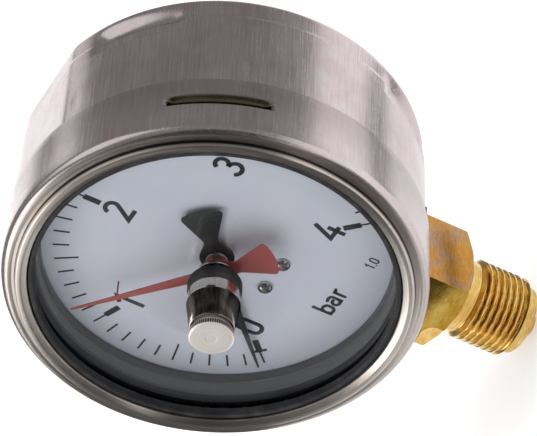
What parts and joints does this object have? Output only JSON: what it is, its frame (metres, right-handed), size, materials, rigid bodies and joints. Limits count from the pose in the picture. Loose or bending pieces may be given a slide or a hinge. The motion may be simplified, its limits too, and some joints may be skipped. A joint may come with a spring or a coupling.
{
  "type": "pressure gauge",
  "caption": "Dial pressure gauge with a bayonet-ring case, a threaded bottom connection, a Bourdon-tube movement and a resettable drag pointer.",
  "frame": {"origin": "on the axis of the threaded stem, at the sealing face on its end", "axes": "-Z along the stem, out of the gauge; -Y out of the dial, towards the reader; +X to the reader's right"},
  "size_m": [0.101, 0.0672, 0.139],
  "materials": {
    "case_steel": "stainless sheet, fine brushing along the gauge axis",
    "ring_steel": "stainless sheet, satin, with polished turned bead",
    "window_glass": "clear instrument glass",
    "seal_rubber": "black rubber, matt",
    "spacer_plastic": "dark grey moulded ring",
    "dial_white": "white lacquered aluminium, black printed scale",
    "nickel": "bright nickel plate, turned",
    "dark_chrome": "dark bright plate, turned",
    "stem_brass": "machined brass, spanner flats with tool marks",
    "movement_brass": "stamped and turned brass",
    "movement_steel": "turned steel",
    "tube_copper": "drawn copper alloy",
    "pointer_black": "black paint on aluminium",
    "pointer_red": "red paint on aluminium"
  },
  "bodies": {
    "gauge_body": {"case": "case_steel", "window": "window_glass", "window_seal": "seal_rubber", "spacer_ring": "spacer_plastic", "dial": "dial_white", "dial_screw_left": "nickel", "dial_screw_right": "nickel", "pressure_stem": "stem_brass", "stem_gasket": "seal_rubber", "blowout_plug": "seal_rubber", "case_screw_1": "nickel", "case_screw_2": "nickel", "bourdon_tube": "tube_copper", "movement_front_plate": "movement_brass", "movement_back_plate": "movement_brass", "movement_pillar_1": "movement_brass", "movement_pillar_2": "movement_brass", "movement_pillar_3": "movement_brass", "movement_screw_1": "movement_steel", "movement_screw_2": "movement_steel", "hairspring": "tube_copper", "hairspring_stud": "movement_brass", "window_bush": "movement_brass", "bush_nut": "nickel", "sleeve_seat": "seal_rubber", "knob_sleeve": "dark_chrome", "knob_spring": "movement_steel"},
    "bezel": {"bayonet_ring": "ring_steel"},
    "tube_end": {"tube_end_piece": "movement_brass", "tip_pin": "movement_steel"},
    "linkage": {"link": "movement_brass"},
    "sector": {"sector_gear": "movement_brass", "sector_arbor": "movement_steel", "tail_pin": "movement_steel"},
    "pointer_train": {"pinion_arbor": "movement_steel", "spring_collet": "movement_brass", "pointer": "pointer_black", "pointer_hub": "nickel"},
    "drag_hand": {"drag_spindle": "movement_steel", "drag_pointer": "pointer_red"},
    "knob": {"knob_cap": "nickel"}
  },
  "joints": [
    {"name": "sector_swing", "type": "hinge", "parent": "gauge_body", "child": "sector", "pos_m": [0.01274, -0.0145, 0.06756], "axis": [0, -1, 0], "range_deg": [0, 27], "stiffness_Nm_per_rad": 0.02, "springref_deg": -5.73},
    {"name": "pointer_turn", "type": "hinge", "parent": "gauge_body", "child": "pointer_train", "pos_m": [0, -0.0145, 0.0855], "axis": [0, 1, 0], "range_deg": [0, 270], "deforming": ["hairspring"]},
    {"name": "tube_flex", "type": "hinge", "parent": "gauge_body", "child": "tube_end", "pos_m": [0, -0.0145, 0.0855], "axis": [0, -1, 0], "range_deg": [0, 6.18], "deforming": ["bourdon_tube"]},
    {"name": "link_pivot", "type": "hinge", "parent": "tube_end", "child": "linkage", "pos_m": [0.02178, -0.0125, 0.07131], "axis": [0, -1, 0], "range_deg": [-6.18, 0]},
    {"name": "drag_turn", "type": "hinge", "parent": "gauge_body", "child": "drag_hand", "pos_m": [0, -0.03, 0.0855], "axis": [0, 1, 0], "range_deg": [-80.9, 189.1]},
    {"name": "knob_push", "type": "slide", "parent": "drag_hand", "child": "knob", "axis": [0, 1, 0], "range_m": [0, 0.0009], "stiffness_N_per_m": 400, "deforming": ["knob_spring"]},
    {"name": "bezel_turn", "type": "hinge", "parent": "gauge_body", "child": "bezel", "pos_m": [0, -0.03, 0.0855], "axis": [0, -1, 0], "range_deg": [0, 20]}
  ],
  "couplings": [
    {"joint": "pointer_turn", "follows": "sector_swing", "ratio": 10},
    {"joint": "tube_flex", "follows": "sector_swing", "ratio": 0.22875},
    {"joint": "link_pivot", "follows": "sector_swing", "ratio": -0.22875}
  ]
}
